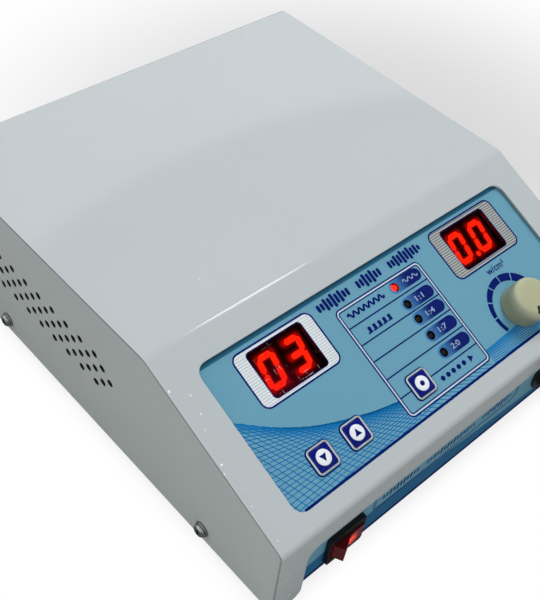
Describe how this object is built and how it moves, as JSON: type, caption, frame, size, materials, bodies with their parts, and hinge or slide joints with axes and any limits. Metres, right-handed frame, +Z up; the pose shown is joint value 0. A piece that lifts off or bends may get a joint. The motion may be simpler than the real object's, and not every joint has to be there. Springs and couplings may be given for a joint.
{
  "type": "ultrasound therapy unit",
  "caption": "Table-top ultrasound therapy unit with a sloping blue control panel, two digit displays, three keys, an intensity knob, a red rocker switch and a front probe socket.",
  "frame": {"origin": "middle of the unit's footprint at table level, with the unit standing on its feet", "axes": "+Z up, -Y out of the front face with the power switch, +X to the right seen from the front"},
  "size_m": [0.1988, 0.2306, 0.0784],
  "materials": {
    "cover_paint": "gloss",
    "panel_sheet": "satin",
    "plated_steel": "satin",
    "aluminium": "satin",
    "label_blue": "gloss",
    "gasket_foam": "matte",
    "foot_rubber": "matte",
    "black_plastic": "satin",
    "display_filter": "gloss",
    "display_grey": "matte",
    "lit_red": "gloss",
    "lamp_dark": "gloss",
    "board_green": "gloss",
    "key_navy": "gloss",
    "knob_ivory": "satin",
    "pointer_black": "satin",
    "brass": "satin",
    "rocker_red": "gloss",
    "chrome": "gloss",
    "laminated_iron": "matte",
    "copper_tape": "satin",
    "capacitor_sleeve": "gloss",
    "fuse_glass": "gloss",
    "ribbon_grey": "satin",
    "wire_brown": "satin",
    "lead_black": "satin"
  },
  "bodies": {
    "cabinet": {"top_cover": "cover_paint", "left_side_panel": "panel_sheet", "right_side_panel": "panel_sheet", "base_chassis": "plated_steel", "rear_panel": "panel_sheet", "control_plate": "plated_steel", "panel_gasket": "gasket_foam", "control_label": "label_blue", "front_label": "label_blue", "side_screws": "plated_steel", "side_screw_washers": "plated_steel", "rubber_feet": "foot_rubber", "foot_screws": "plated_steel", "m3_screws": "plated_steel", "board_standoffs": "brass", "time_display": "display_grey", "time_segments": "lit_red", "time_window": "display_filter", "intensity_display": "display_grey", "intensity_segments": "lit_red", "intensity_window": "display_filter", "continuous_led": "lit_red", "pulse_leds": "lamp_dark", "display_board": "board_green", "microcontroller": "black_plastic", "key_switches": "black_plastic", "potentiometer": "copper_tape", "potentiometer_bush": "brass", "potentiometer_nut": "plated_steel", "switch_housing": "black_plastic", "switch_terminals": "plated_steel", "probe_socket_shell": "chrome", "probe_socket_insert": "black_plastic", "probe_socket_contacts": "brass", "probe_socket_nut": "chrome", "mains_inlet": "black_plastic", "mains_inlet_pins": "plated_steel", "fuse_holder": "black_plastic", "fuse": "fuse_glass", "main_board": "board_green", "transformer_core": "laminated_iron", "transformer_winding": "copper_tape", "filter_capacitors": "capacitor_sleeve", "heatsink": "aluminium", "output_transistors": "black_plastic", "buzzer": "black_plastic", "ribbon_cable": "ribbon_grey", "mains_wires": "wire_brown", "probe_lead": "lead_black"},
    "intensity_control": {"intensity_knob": "knob_ivory", "knob_pointer": "pointer_black", "control_shaft": "plated_steel"},
    "power_rocker": {"switch_rocker": "rocker_red"},
    "down_button": {"down_key": "key_navy", "down_key_rim": "chrome"},
    "up_button": {"up_key": "key_navy", "up_key_rim": "chrome"},
    "select_button": {"select_key": "key_navy", "select_key_rim": "chrome"},
    "fuse_carrier": {"fuse_cap": "black_plastic"}
  },
  "joints": [
    {"name": "intensity_turn", "type": "hinge", "parent": "cabinet", "child": "intensity_control", "pos_m": [0.0519, -0.09065, 0.05332], "axis": [0, 0.3875, -0.9219], "range_deg": [0, 300]},
    {"name": "power_rock", "type": "hinge", "parent": "cabinet", "child": "power_rocker", "pos_m": [-0.0619, -0.10633, 0.0192], "axis": [0, 0, -1], "range_deg": [0, 28]},
    {"name": "down_press", "type": "slide", "parent": "cabinet", "child": "down_button", "axis": [0, 0.3875, -0.9219], "range_m": [0, 0.0005]},
    {"name": "up_press", "type": "slide", "parent": "cabinet", "child": "up_button", "axis": [0, 0.3875, -0.9219], "range_m": [0, 0.0005]},
    {"name": "select_press", "type": "slide", "parent": "cabinet", "child": "select_button", "axis": [0, 0.3875, -0.9219], "range_m": [0, 0.0005]},
    {"name": "fuse_cap_turn", "type": "hinge", "parent": "cabinet", "child": "fuse_carrier", "pos_m": [0, 0.10594, 0.032], "axis": [0, 1, 0], "range_deg": [0, 60]}
  ]
}
